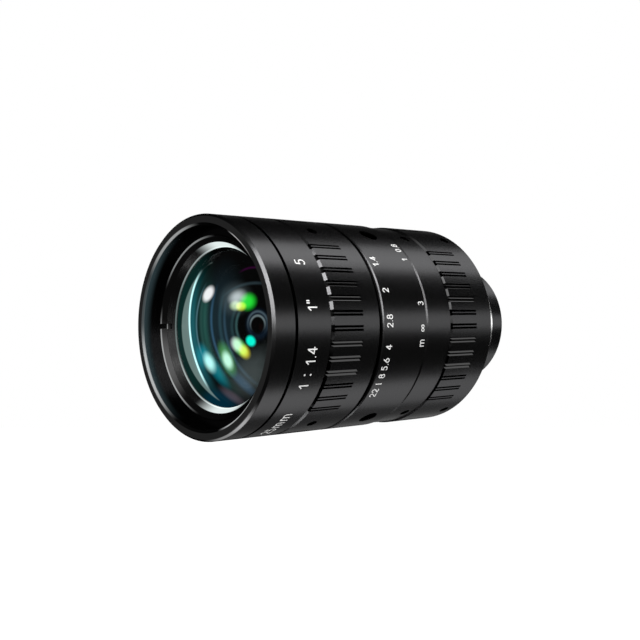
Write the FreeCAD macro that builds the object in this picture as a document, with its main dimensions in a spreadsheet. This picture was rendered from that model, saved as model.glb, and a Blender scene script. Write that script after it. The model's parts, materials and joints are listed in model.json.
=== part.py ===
import FreeCAD, Part
import math
import os
import re
import Sketcher

# Manual lens of 25 mm focal length and f/1.4 for a one-inch, 32-thread camera mount.
# The optical axis is Y. The front glass looks towards -Y and the camera is at +Y.
# The origin lies on the axis, in the plane of the mounting flange.
# A station is a distance along the axis, counted from the front rim.
# An angle is counted from +X towards +Z, about the axis.

document = FreeCAD.newDocument("MachineVisionLens")

driving_sizes = [
    # Outside of the barrel, one stretch after another
    ("front_length", 4.88), ("front_gap", 0.57), ("name_length", 7.7), ("iris_gap", 0.31),
    ("iris_length", 11.9), ("middle_gap", 0.75), ("middle_length", 12.24), ("focus_gap", 0.52),
    ("focus_length", 19.58), ("neck_length", 8.75),
    # Edges of the outside
    ("front_chamfer", 0.46), ("edge_break", 0.1), ("iris_chamfer", 0.5), ("middle_chamfer", 0.45),
    ("focus_chamfer", 0.27), ("focus_rear_chamfer", 0.12), ("focus_step", 0.27),
    ("focus_plain_length", 6.93), ("focus_rise_length", 0.3),
    # Walls and clearances, from the iris chamber outwards
    ("tube_wall", 2.5), ("sleeve_wall", 1.04), ("grip_wall", 1.9),
    ("running_clearance", 0.04), ("slide_clearance", 0.05), ("screwed_clearance", 0.02),
    ("end_play", 0.05), ("collar_step", 0.2), ("guide_wall", 1.6), ("nut_wall", 1.95),
    ("guide_room", 0.35), ("journal_wall", 1.0), ("keeper_land", 0.3), ("keeper_room", 0.07),
    # Front ring and its lens seat
    ("rim_width", 2.02), ("filter_chamfer", 0.45), ("filter_depth", 2.93), ("floor_width", 1.62),
    ("spigot_step", 1.5), ("lip_length", 1.0), ("lip_room", 0.4), ("thread_runout", 0.3),
    ("retainer_length", 2.52), ("retainer_width", 2.15), ("retainer_break", 0.12),
    ("cone_width", 1.24), ("cone_drop", 0.81), ("window_land", 0.16),
    ("spanner_slot_width", 1.0), ("spanner_slot_reach", 1.75), ("spanner_slot_depth", 1.6),
    # Front lens group
    ("lens_clearance", 0.02), ("bulge_clearance", 0.05), ("first_land", 0.44), ("first_seat", 2.9),
    ("first_edge", 3.15), ("first_front_curve", 50.0), ("first_rear_curve", 30.0),
    ("third_radius", 10.6), ("group_step", 2.0), ("group_ring_room", 0.1), ("group_ring_length", 0.9),
    ("second_land", 0.95), ("second_seat", 2.8), ("second_edge", 2.0), ("second_front_curve", 60.0),
    ("second_rear_curve", 26.0), ("spacer_flange", 0.7), ("spacer_room", 0.1), ("spacer_tube", 0.9),
    ("third_land", 1.0), ("third_edge", 2.3), ("third_front_curve", 22.0), ("third_rear_curve", 60.0),
    ("seat_wall", 1.2),
    # Iris
    ("iris_open_radius", 8.05), ("blade_margin", 0.05), ("blade_width", 4.1), ("blade_tail", 125.0),
    ("blade_ear_start", -5.0), ("blade_ear_end", 28.0), ("blade_ear_reach", 0.9),
    ("blade_thickness", 0.12), ("blade_play", 0.06), ("pivot_step", 1.2), ("chamber_step", 1.6), ("pin_radius", 0.4),
    ("pin_clearance", 0.05), ("drive_reach", 5.0), ("cam_thickness", 1.0), ("cam_room", 0.1),
    ("base_thickness", 1.0), ("pin_end_room", 0.1), ("cam_bore_step", 0.55),
    ("iris_scale_turn", 74.3), ("iris_rest_turn", 63.9), ("blade_full_turn", 32.9),
    ("drive_pin_radius", 0.5), ("drive_pin_depth", 0.85), ("notch_room", 0.05),
    ("notch_angle", 57.0), ("window_margin", 4.0), ("slot_margin", 1.2), ("drive_pin_grip", 0.76),
    # Rear lens group
    ("rear_ring_room", 0.15), ("rear_ring_length", 1.2), ("rear_group_radius", 10.6),
    ("fourth_edge", 5.5), ("fourth_hollow_land", 1.6), ("fourth_front_curve", 60.0),
    ("cement_curve", 22.0), ("cement_line", 0.01), ("fifth_edge", 1.6), ("fifth_rear_curve", 26.0),
    ("rear_land", 1.0), ("rear_spacer_length", 6.2), ("sixth_edge", 3.0),
    ("sixth_front_curve", 24.0), ("sixth_rear_curve", 50.0), ("relay_seat_length", 1.2),
    ("collar_length", 4.4), ("waist_wall", 2.58), ("collar_room", 1.1),
    ("nose_wall", 1.2), ("nose_reach", 2.8), ("seventh_land", 1.0), ("seventh_edge", 4.0),
    ("seventh_front_curve", 28.0), ("seventh_rear_curve", 40.0), ("nose_seat_depth", 8.5),
    ("last_ring_length", 1.5),
    # Rear barrel and camera mount
    ("tube_screw_length", 3.49), ("guide_gap", 0.9), ("guide_rear_room", 0.15),
    ("stop_room", 0.2), ("stop_length", 2.0), ("stop_inset", 0.45), ("nut_length", 14.5),
    ("lip_depth", 2.33), ("keeper_length", 1.0), ("neck_cone", 2.5), ("neck_step", 0.1),
    ("socket_depth", 3.7), ("nose_room", 0.35), ("flange_thickness", 1.5), ("flange_step", 1.55),
    ("flange_break", 0.15), ("thread_radius", 12.7), ("shank_step", 0.8),
    ("undercut_depth", 0.3), ("undercut_length", 0.3), ("ring_wall", 0.88),
    ("thread_reach", 5.7), ("thread_chamfer", 0.4), ("rear_bore_room", 0.25),
    # Grips, screws and guide keys
    ("groove_width", 0.42), ("groove_spacing", 0.65), ("groove_depth", 0.38), ("pair_pitch", 7.6),
    ("iris_groove_length", 7.69), ("focus_groove_length", 7.84), ("set_screw_radius", 1.0),
    ("set_screw_length", 1.3), ("set_screw_bite", 0.3), ("socket_flats", 0.9),
    ("iris_screw_station", 4.49), ("focus_front_screw", 4.69), ("focus_rear_screw", 2.75),
    ("key_station", 6.69), ("key_head_bore", 1.875), ("key_bore_depth", 1.6),
    ("key_head_radius", 1.7), ("key_head_height", 0.7), ("key_shank_radius", 1.0),
    ("key_nose_radius", 0.95), ("key_nose_clearance", 0.03), ("key_slot_width", 0.6),
    ("key_nose_reach", 1.7),
]

derived_sizes = [
    ("name_front", "front_length + front_gap"),
    ("name_rear", "name_front + name_length"),
    ("iris_front", "name_rear + iris_gap"),
    ("iris_rear", "iris_front + iris_length"),
    ("middle_front", "iris_rear + middle_gap"),
    ("middle_rear", "middle_front + middle_length"),
    ("focus_front", "middle_rear + focus_gap"),
    ("focus_rear", "focus_front + focus_length"),
    ("flange_station", "focus_rear + neck_length"),
    ("blade_inner", "iris_open_radius + blade_margin"),
    ("blade_outer", "blade_inner + blade_width"),
    ("pivot_circle", "blade_outer + pivot_step"),
    ("chamber_radius", "pivot_circle + chamber_step"),
    ("journal_radius", "chamber_radius + tube_wall"),
    ("sleeve_inner", "journal_radius + running_clearance"),
    ("sleeve_outer", "sleeve_inner + sleeve_wall"),
    ("grip_inner", "sleeve_outer + screwed_clearance"),
    ("barrel_radius", "grip_inner + grip_wall"),
    ("collar_radius", "chamber_radius + collar_step"),
    ("guide_inner", "collar_radius + slide_clearance"),
    ("guide_outer", "guide_inner + guide_wall"),
    ("nut_inner", "guide_outer + slide_clearance"),
    ("nut_outer", "nut_inner + nut_wall"),
    ("focus_bore", "nut_outer + screwed_clearance"),
    ("middle_bore", "guide_outer + guide_room"),
    ("middle_journal", "middle_bore + journal_wall"),
    ("tube_rear", "middle_front + tube_screw_length"),
    # Front cell
    ("filter_radius", "barrel_radius - rim_width"),
    ("retainer_radius", "filter_radius - floor_width"),
    ("window_radius", "retainer_radius - retainer_width"),
    ("first_radius", "retainer_radius - first_land"),
    ("first_hollow", "first_radius - first_seat"),
    ("first_window", "window_radius - bulge_clearance"),
    ("spigot_radius", "barrel_radius - spigot_step"),
    ("first_flat", "filter_depth + retainer_length"),
    ("lens_seat", "first_flat + first_edge"),
    ("cell_rear", "lens_seat + lip_length"),
    ("first_front", "first_flat - first_front_curve + sqrt(first_front_curve^2 - first_window^2)"),
    ("first_rear", "lens_seat - first_rear_curve + sqrt(first_rear_curve^2 - first_hollow^2)"),
    # Second and third elements
    ("second_radius", "third_radius + group_step"),
    ("second_window", "second_radius - second_land"),
    ("second_hollow", "second_radius - second_seat"),
    ("second_flat", "cell_rear + group_ring_room + group_ring_length"),
    ("second_back", "second_flat + second_edge"),
    ("second_front", "second_flat - second_front_curve + sqrt(second_front_curve^2 - second_window^2)"),
    ("second_rear", "second_back - second_rear_curve + sqrt(second_rear_curve^2 - second_hollow^2)"),
    ("group_shoulder", "second_back + spacer_flange + spacer_room"),
    ("third_flat", "group_shoulder + spacer_tube"),
    ("third_seat", "third_flat + third_edge"),
    ("third_window", "third_radius - third_land"),
    ("third_front", "third_flat - third_front_curve + sqrt(third_front_curve^2 - third_window^2)"),
    ("third_rear", "third_seat + third_rear_curve - sqrt(third_rear_curve^2 - third_window^2)"),
    ("chamber_front", "third_seat + seat_wall"),
    # Iris stack
    ("cam_front", "chamber_front + end_play"),
    ("cam_rear", "cam_front + cam_thickness"),
    ("blade_pitch", "blade_thickness + blade_play"),
    ("ear_outer", "pivot_circle + blade_ear_reach"),
    ("drive_angle", "2 * asin(drive_reach / 2 / pivot_circle)"),
    ("blade_ratio", "blade_full_turn / iris_scale_turn"),
    ("blade_rest_turn", "blade_ratio * iris_rest_turn"),
    ("base_front", "cam_rear + blade_play + blade_count * blade_pitch"),
    ("base_rear", "base_front + base_thickness"),
    ("cam_outer", "chamber_radius - cam_room"),
    ("drive_station", "(cam_front + cam_rear) / 2"),
    ("drive_foot", "cam_outer - drive_pin_depth"),
    ("notch_at", "notch_angle - iris_rest_turn"),
    # Rear group
    ("fourth_flat", "base_rear + rear_ring_room + rear_ring_length"),
    ("fourth_back", "fourth_flat + fourth_edge"),
    ("fourth_hollow", "rear_group_radius - fourth_hollow_land"),
    ("fourth_front", "fourth_flat + fourth_front_curve - sqrt(fourth_front_curve^2 - fourth_hollow^2)"),
    ("cement_drop", "cement_curve - sqrt(cement_curve^2 - rear_group_radius^2)"),
    ("fifth_flat", "fourth_back + cement_line"),
    ("fifth_back", "fifth_flat + fifth_edge"),
    ("rear_window", "rear_group_radius - rear_land"),
    ("fifth_rear", "fifth_back + fifth_rear_curve - sqrt(fifth_rear_curve^2 - rear_window^2)"),
    ("sixth_flat", "fifth_back + rear_spacer_length"),
    ("sixth_seat", "sixth_flat + sixth_edge"),
    ("sixth_front", "sixth_flat - sixth_front_curve + sqrt(sixth_front_curve^2 - rear_window^2)"),
    ("sixth_rear", "sixth_seat + sixth_rear_curve - sqrt(sixth_rear_curve^2 - rear_window^2)"),
    ("group_bore", "rear_group_radius + lens_clearance"),
    ("waist_radius", "group_bore + waist_wall"),
    ("guide_rear", "focus_rear + guide_rear_room"),
    ("collar_rear", "guide_rear - collar_room"),
    ("nose_rear", "flange_station + nose_reach"),
    ("nose_seat", "nose_rear - nose_seat_depth"),
    ("flange_radius", "thread_radius + flange_step"),
    ("shank_radius", "thread_radius - shank_step"),
    ("rear_bore", "shank_radius - ring_wall"),
    ("nose_radius", "rear_bore - rear_bore_room"),
    ("nose_bore", "nose_radius - nose_wall"),
    ("seventh_radius", "nose_bore - lens_clearance"),
    ("seventh_window", "seventh_radius - seventh_land"),
    ("baffle_radius", "seventh_window + bulge_clearance"),
    ("seventh_seat", "nose_seat + seventh_edge"),
    ("seventh_front", "nose_seat - seventh_front_curve + sqrt(seventh_front_curve^2 - seventh_window^2)"),
    ("seventh_rear", "seventh_seat + seventh_rear_curve - sqrt(seventh_rear_curve^2 - seventh_window^2)"),
    # Rear barrel and focusing
    ("guide_front", "tube_rear + guide_gap"),
    ("lip_rear", "focus_front + lip_depth"),
    ("keeper_front", "lip_rear + end_play"),
    ("keeper_rear", "keeper_front + keeper_length"),
    ("keeper_inner", "middle_journal - keeper_land"),
    ("keeper_outer", "focus_bore - keeper_room"),
    ("lip_inner", "middle_journal + running_clearance"),
    ("nut_front", "keeper_rear + end_play"),
    ("nut_rear", "nut_front + nut_length"),
    ("stop_front", "nut_rear + stop_room"),
    ("stop_rear", "stop_front + stop_length"),
    ("stop_radius", "nut_outer - stop_inset"),
    ("neck_radius", "flange_radius - neck_step"),
    ("neck_front", "stop_rear + neck_cone"),
    ("neck_rear", "flange_station - flange_thickness"),
    ("socket_front", "neck_rear - socket_depth"),
    ("thread_rear", "flange_station + thread_reach"),
    ("sleeve_front", "name_rear + end_play"),
    ("sleeve_rear", "middle_front - end_play"),
    ("grip_front", "focus_front + focus_plain_length"),
    ("step_radius", "barrel_radius - focus_step"),
    # Screws and keys
    ("iris_screws_at", "iris_front + iris_screw_station"),
    ("front_screws_at", "focus_front + focus_front_screw"),
    ("rear_screws_at", "focus_rear - focus_rear_screw"),
    ("keys_at", "middle_front + key_station"),
    ("key_seat_radius", "barrel_radius - key_bore_depth"),
    ("key_foot_radius", "middle_bore - key_nose_reach"),
    ("key_slot_end", "keys_at + key_nose_radius + 2 * key_nose_clearance"),
]

blade_count = 8
pairs_in_sector = 13
sector_count = 3

owner = {"blade_count": "Sizes."}


def bound(text):
    """Writes each size in a formula with the name of the sheet that holds it."""
    return re.sub(r"[a-z][a-z_]+", lambda found: owner.get(found.group(), "") + found.group(), text)


def fill_sheet(name, rows, as_formula):
    sheet = document.addObject("Spreadsheet::Sheet", name)
    for row, (alias, entry) in enumerate(rows, 1):
        owner[alias] = name + "."
        sheet.set("A%d" % row, alias.replace("_", " "))
        sheet.set("B%d" % row, "=" + bound(entry) if as_formula else str(entry))
        sheet.setAlias("B%d" % row, alias)
    return sheet


sizes = fill_sheet("Sizes", driving_sizes + [("blade_count", blade_count)], False)
layout = fill_sheet("Layout", derived_sizes, True)
document.recompute()


def value(text):
    return float(layout.evalExpression(bound(text)))


def origin_part(body, role):
    return [part for part in body.Origin.OriginFeatures if part.Role == role][0]


def new_body(label):
    """A sub-part whose own Y axis starts at the front rim, set back to the flange."""
    body = document.addObject("PartDesign::Body", label)
    body.Label = label
    body.setExpression("Placement.Base.y", bound("-flange_station"))
    return body


def new_sketch(body, name, plane, lift="0", turn="0"):
    """A sketch on an origin plane, lifted along the plane's normal and turned in it."""
    sketch = body.newObject("Sketcher::SketchObject", name)
    sketch.AttachmentSupport = [(origin_part(body, plane), "")]
    sketch.MapMode = "FlatFace"
    rotation = FreeCAD.Rotation(FreeCAD.Vector(0, 0, 1), value(turn))
    sketch.AttachmentOffset = FreeCAD.Placement(FreeCAD.Vector(0, 0, value(lift)), rotation)
    if lift != "0":
        sketch.setExpression("AttachmentOffset.Base.z", bound(lift))
    if turn != "0":
        sketch.setExpression("AttachmentOffset.Rotation.Angle", bound(turn))
    return sketch


def pin_point(sketch, geometry, end, across, along):
    """Ties one end of a sketch line to two formulas."""
    for kind, text, axis in (("DistanceX", across, -2), ("DistanceY", along, -1)):
        if text == "0":
            sketch.addConstraint(Sketcher.Constraint("PointOnObject", geometry, end, axis))
            continue
        index = sketch.addConstraint(
            Sketcher.Constraint(kind, -1, 1, geometry, end, value(text)))
        sketch.setExpression("Constraints[%d]" % index, bound(text))


def draw_outline(sketch, corners):
    """Closed outline. A corner is (across, along), with (curve, side) where an arc leaves it:
    side is +1 where the arc's centre lies on the left of the way to the next corner."""
    first = sketch.GeometryCount
    count = len(corners)
    points = [FreeCAD.Vector(value(corner[0]), value(corner[1]), 0) for corner in corners]
    ends = []
    for index, corner in enumerate(corners):
        start, stop = points[index], points[(index + 1) % count]
        if len(corner) == 2:
            sketch.addGeometry(Part.LineSegment(start, stop))
            ends.append((1, 2))
            continue
        curve, side = value(corner[2][0]), corner[2][1]
        chord = stop - start
        rise = math.sqrt(curve ** 2 - (chord.Length / 2) ** 2)
        leftward = FreeCAD.Vector(-chord.y, chord.x, 0).normalize()
        centre = (start + stop) / 2 + leftward * rise * side
        from_point, to_point = (start, stop) if side > 0 else (stop, start)
        angles = [math.atan2(p.y - centre.y, p.x - centre.x) for p in (from_point, to_point)]
        circle = Part.Circle(centre, FreeCAD.Vector(0, 0, 1), curve)
        sketch.addGeometry(Part.ArcOfCircle(circle, angles[0], angles[1]))
        ends.append((1, 2) if side > 0 else (2, 1))
    for index, corner in enumerate(corners):
        following = (index + 1) % count
        sketch.addConstraint(Sketcher.Constraint(
            "Coincident", first + index, ends[index][1], first + following, ends[following][0]))
        pin_point(sketch, first + index, ends[index][0], corner[0], corner[1])
        if len(corner) == 3:
            radius = sketch.addConstraint(
                Sketcher.Constraint("Radius", first + index, value(corner[2][0])))
            sketch.setExpression("Constraints[%d]" % radius, bound(corner[2][0]))


def draw_circle(sketch, across, along, radius):
    index = sketch.addGeometry(
        Part.Circle(FreeCAD.Vector(value(across), value(along), 0), FreeCAD.Vector(0, 0, 1), value(radius)))
    pin_point(sketch, index, 3, across, along)
    size = sketch.addConstraint(Sketcher.Constraint("Radius", index, value(radius)))
    sketch.setExpression("Constraints[%d]" % size, bound(radius))


def turned(label, corners):
    """A turned piece: its outline as (radius, station) corners, spun about the axis."""
    body = new_body(label)
    sketch = new_sketch(body, label + "_outline", "XY_Plane")
    draw_outline(sketch, corners)
    spin = body.newObject("PartDesign::Revolution", label + "_turned")
    spin.Profile = sketch
    spin.ReferenceAxis = (sketch, ["V_Axis"])
    spin.Angle = 360
    return body


def around(body, name, feature, count):
    """Repeats a feature evenly about the axis."""
    pattern = body.newObject("PartDesign::PolarPattern", name)
    pattern.Originals = [feature]
    pattern.Axis = (origin_part(body, "Y_Axis"), [""])
    pattern.Angle = 360
    pattern.Occurrences = count
    body.Tip = pattern
    return pattern


def radial_feature(body, name, kind, station, radius, inner, outer, at="180", sides=0):
    """A round or hexagonal pad or pocket along the radius at one angle, between two radii."""
    sketch = new_sketch(body, name + "_section", "YZ_Plane")
    shifts = {"y": "(%s) * sin(%s)" % (inner, at), "z": "(%s) * cos(%s)" % (inner, at)}
    sketch.AttachmentOffset = FreeCAD.Placement(
        FreeCAD.Vector(0, value(shifts["y"]), value(shifts["z"])),
        FreeCAD.Rotation(FreeCAD.Vector(1, 0, 0), -value(at)))
    for axis, text in shifts.items():
        sketch.setExpression("AttachmentOffset.Base." + axis, bound(text))
    sketch.setExpression("AttachmentOffset.Rotation.Angle", bound("-(%s)" % at))
    if sides:
        draw_outline(sketch, [
            ("%s + (%s) * cos(%g)" % (station, radius, 360 * side / sides),
             "(%s) * sin(%g)" % (radius, 360 * side / sides) if side * 2 % sides else "0")
            for side in range(sides)])
    else:
        draw_circle(sketch, station, "0", radius)
    feature = body.newObject("PartDesign::" + kind, name)
    feature.Profile = sketch
    feature.Type = "Length"
    feature.setExpression("Length", bound("(%s) - (%s)" % (outer, inner)))
    feature.Reversed = kind == "Pocket"
    return feature


def radial_holes(body, name, station, radius, inner, outer):
    hole = radial_feature(body, name + "_hole", "Pocket", station, radius, inner, outer)
    return around(body, name, hole, sector_count)


def broken_edge(radius, station, side):
    """Two corners of a small outer chamfer: side is +1 on a rear edge, -1 on a front edge."""
    if side < 0:
        return [("%s - edge_break" % radius, station), (radius, "%s + edge_break" % station)]
    return [(radius, "%s - edge_break" % station), ("%s - edge_break" % radius, station)]


def cut_grip(body, label, front, length):
    """Pairs of narrow V grooves with a ridge between, in three sectors with plain stretches."""
    turn = "%d * pair_pitch" % (pairs_in_sector // 2)
    sketch = new_sketch(body, label + "_slot_pair", "XZ_Plane", "-(%s)" % front, turn)
    for side in ("-", "+"):
        centre = "%sgroove_spacing / 2" % side
        low, high = "%s - 0.6 * groove_width" % centre, "%s + 0.6 * groove_width" % centre
        floor, outside = "barrel_radius - groove_depth", "barrel_radius + groove_depth / 5"
        draw_outline(sketch, [(floor, centre), (outside, low), (outside, high)])
    slots = body.newObject("PartDesign::Pocket", label + "_slots")
    slots.Profile = sketch
    slots.Type = "Length"
    slots.setExpression("Length", bound(length))
    whole = body.newObject("PartDesign::MultiTransform", label + "_grip")
    whole.Originals = [slots]
    steps = []
    for name, angle, count in (("pairs", "%d * pair_pitch" % (pairs_in_sector - 1), pairs_in_sector),
                               ("sectors", "360", sector_count)):
        step = body.newObject("PartDesign::PolarPattern", label + "_" + name)
        step.Axis = (origin_part(body, "Y_Axis"), [""])
        step.setExpression("Angle", bound(angle))
        step.Occurrences = count
        steps.append(step)
    whole.Transformations = steps
    body.Tip = whole


def make_front_ring():
    """Outer front ring: filter thread in front, seat of the first element behind."""
    return turned("front_ring", [
        ("filter_radius + filter_chamfer", "0"),
        ("barrel_radius - front_chamfer", "0"),
        ("barrel_radius", "front_chamfer")]
        + broken_edge("barrel_radius", "front_length", 1) + [
        ("spigot_radius", "front_length"),
        ("spigot_radius", "cell_rear"),
        ("first_hollow + lip_room", "cell_rear"),
        ("first_hollow + lip_room", "lens_seat"),
        ("first_radius + lens_clearance", "lens_seat"),
        ("first_radius + lens_clearance", "first_flat + thread_runout"),
        ("retainer_radius + screwed_clearance", "first_flat + thread_runout"),
        ("retainer_radius + screwed_clearance", "filter_depth"),
        ("filter_radius", "filter_depth"),
        ("filter_radius", "filter_chamfer")])


def make_retaining_ring():
    """Ring with a conical face and a steep bevel round the glass, and two spanner slots."""
    body = turned("front_retaining_ring", [
        ("retainer_radius - retainer_break", "filter_depth"),
        ("retainer_radius", "filter_depth + retainer_break"),
        ("retainer_radius", "first_flat"),
        ("window_radius", "first_flat"),
        ("window_radius", "first_flat - window_land"),
        ("retainer_radius - cone_width", "filter_depth + cone_drop")])
    sketch = new_sketch(body, "spanner_slot", "XZ_Plane", "-(filter_depth)")
    draw_outline(sketch, [
        ("-retainer_radius - 1", "-spanner_slot_width / 2"),
        ("-retainer_radius + spanner_slot_reach", "-spanner_slot_width / 2"),
        ("-retainer_radius + spanner_slot_reach", "spanner_slot_width / 2"),
        ("-retainer_radius - 1", "spanner_slot_width / 2")])
    slot = body.newObject("PartDesign::Pocket", "spanner_slot_cut")
    slot.Profile = sketch
    slot.Type = "Length"
    slot.setExpression("Length", bound("spanner_slot_depth"))
    around(body, "spanner_slots", slot, 2)
    return body


def make_front_barrel():
    """Lettered front barrel with the long tube that carries the iris ring."""
    body = turned("front_barrel", [("spigot_radius + screwed_clearance", "name_front")]
        + [("barrel_radius", "name_front")]
        + broken_edge("barrel_radius", "name_rear", 1) + [
        ("journal_radius", "name_rear"),
        ("journal_radius", "tube_rear"),
        ("chamber_radius", "tube_rear"),
        ("chamber_radius", "chamber_front"),
        ("third_window + bulge_clearance", "chamber_front"),
        ("third_window + bulge_clearance", "third_seat"),
        ("third_radius + lens_clearance", "third_seat"),
        ("third_radius + lens_clearance", "group_shoulder"),
        ("second_radius + lens_clearance", "group_shoulder"),
        ("second_radius + lens_clearance", "cell_rear"),
        ("spigot_radius + screwed_clearance", "cell_rear")])
    half = "drive_pin_radius + notch_room"
    middle = "notch_angle - iris_scale_turn / 2"
    sketch = new_sketch(body, "pin_window_section", "XY_Plane")
    sketch.AttachmentOffset = FreeCAD.Placement(
        FreeCAD.Vector(0, 0, 0), FreeCAD.Rotation(FreeCAD.Vector(0, 1, 0), -value(middle)))
    sketch.setExpression("AttachmentOffset.Rotation.Angle", bound("-(%s)" % middle))
    low, high = "drive_station - (%s)" % half, "drive_station + (%s)" % half
    draw_outline(sketch, [
        ("chamber_radius - edge_break", low), ("journal_radius + edge_break", low),
        ("journal_radius + edge_break", high), ("chamber_radius - edge_break", high)])
    window = body.newObject("PartDesign::Groove", "pin_window")
    window.Profile = sketch
    window.ReferenceAxis = (sketch, ["V_Axis"])
    window.Midplane = True
    window.setExpression("Angle", bound("iris_scale_turn + 2 * window_margin"))
    return body


def make_front_group():
    """Ring, two elements and the spacer between them, in the front barrel."""
    opening = "second_window + bulge_clearance"
    retainer = turned("front_group_retainer", [
        (opening, "cell_rear + group_ring_room"), ("second_radius", "cell_rear + group_ring_room"),
        ("second_radius", "second_flat"), (opening, "second_flat")])
    second = turned("second_element", [
        ("0", "second_rear"),
        ("0", "second_front", ("second_front_curve", 1)),
        ("second_window", "second_flat"),
        ("second_radius", "second_flat"),
        ("second_radius", "second_back"),
        ("second_hollow", "second_back", ("second_rear_curve", -1))])
    inner = "third_window + bulge_clearance"
    spacer = turned("front_spacer", [
        (inner, "second_back"), ("second_radius", "second_back"),
        ("second_radius", "second_back + spacer_flange"), ("third_radius", "second_back + spacer_flange"),
        ("third_radius", "third_flat"), (inner, "third_flat")])
    third = turned("third_element", [
        ("0", "third_rear"),
        ("0", "third_front", ("third_front_curve", 1)),
        ("third_window", "third_flat"),
        ("third_radius", "third_flat"),
        ("third_radius", "third_seat"),
        ("third_window", "third_seat", ("third_rear_curve", 1))])
    return [retainer, second, spacer, third]


def make_front_element():
    return turned("front_element", [
        ("0", "first_rear"),
        ("0", "first_front", ("first_front_curve", 1)),
        ("first_window", "first_flat"),
        ("first_radius", "first_flat"),
        ("first_radius", "lens_seat"),
        ("first_hollow", "lens_seat", ("first_rear_curve", -1))])


def make_iris_base():
    """Plate behind the blades, with a hole for each blade's pivot pin."""
    outer = "chamber_radius - screwed_clearance"
    body = turned("iris_base", [
        ("iris_open_radius", "base_front"), (outer, "base_front"),
        (outer, "base_rear"), ("iris_open_radius", "base_rear")])
    sketch = new_sketch(body, "pivot_circle", "XZ_Plane", "-(base_front)")
    draw_circle(sketch, "pivot_circle", "0", "pin_radius + pin_clearance")
    hole = body.newObject("PartDesign::Pocket", "pivot_hole")
    hole.Profile = sketch
    hole.Type = "Length"
    hole.setExpression("Length", bound("base_thickness"))
    around(body, "pivot_holes", hole, blade_count)
    return body


def point_at(radius, angle):
    return ("(%s) * cos(%s)" % (radius, angle), "(%s) * sin(%s)" % (radius, angle))


def make_blade(number):
    """A blade with its pivot pin behind and its drive pin in front, closed to the rest stop."""
    label = "iris_blade_%d" % (number + 1)
    body = new_body(label)
    face = "(cam_rear + blade_play + %d * blade_pitch)" % number
    start, end, tail = "blade_ear_start", "blade_ear_end", "blade_tail"
    sketch = new_sketch(body, label + "_outline", "XZ_Plane", "-" + face)
    draw_outline(sketch, [
        point_at("blade_inner", start),
        point_at("ear_outer", start) + (("ear_outer", 1),),
        point_at("ear_outer", end),
        point_at("blade_outer", end) + (("blade_outer", 1),),
        point_at("blade_outer", tail) + (("blade_width * 0.52", 1),),
        point_at("blade_inner", tail) + (("blade_inner", -1),)])
    leaf = body.newObject("PartDesign::Pad", label + "_leaf")
    leaf.Profile = sketch
    leaf.setExpression("Length", bound("blade_thickness"))
    leaf.Reversed = True
    pins = (
        ("pivot", ("pivot_circle", "0"), "-(%s + blade_thickness)" % face,
         "base_rear - pin_end_room - %s - blade_thickness" % face, True),
        ("drive", point_at("pivot_circle", "drive_angle"), "-" + face,
         "%s - cam_front - pin_end_room" % face, False))
    for name, spot, lift, length, backward in pins:
        circle = new_sketch(body, "%s_%s_circle" % (label, name), "XZ_Plane", lift)
        draw_circle(circle, spot[0], spot[1], "pin_radius")
        pin = body.newObject("PartDesign::Pad", "%s_%s_pin" % (label, name))
        pin.Profile = circle
        pin.setExpression("Length", bound(length))
        pin.Reversed = backward
    place = "%g * %d" % (360 / blade_count, number)
    turn = "(%s + blade_rest_turn)" % place
    body.Placement = FreeCAD.Placement(
        FreeCAD.Vector(0, 0, 0), FreeCAD.Rotation(FreeCAD.Vector(0, -1, 0), value(turn)))
    body.setExpression("Placement.Rotation.Angle", bound(turn))
    body.setExpression("Placement.Base.x", bound("pivot_circle * (cos(%s) - cos(%s))" % (place, turn)))
    body.setExpression("Placement.Base.z", bound("pivot_circle * (sin(%s) - sin(%s))" % (place, turn)))
    body.setExpression("Placement.Base.y", bound("-flange_station"))
    return body


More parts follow.
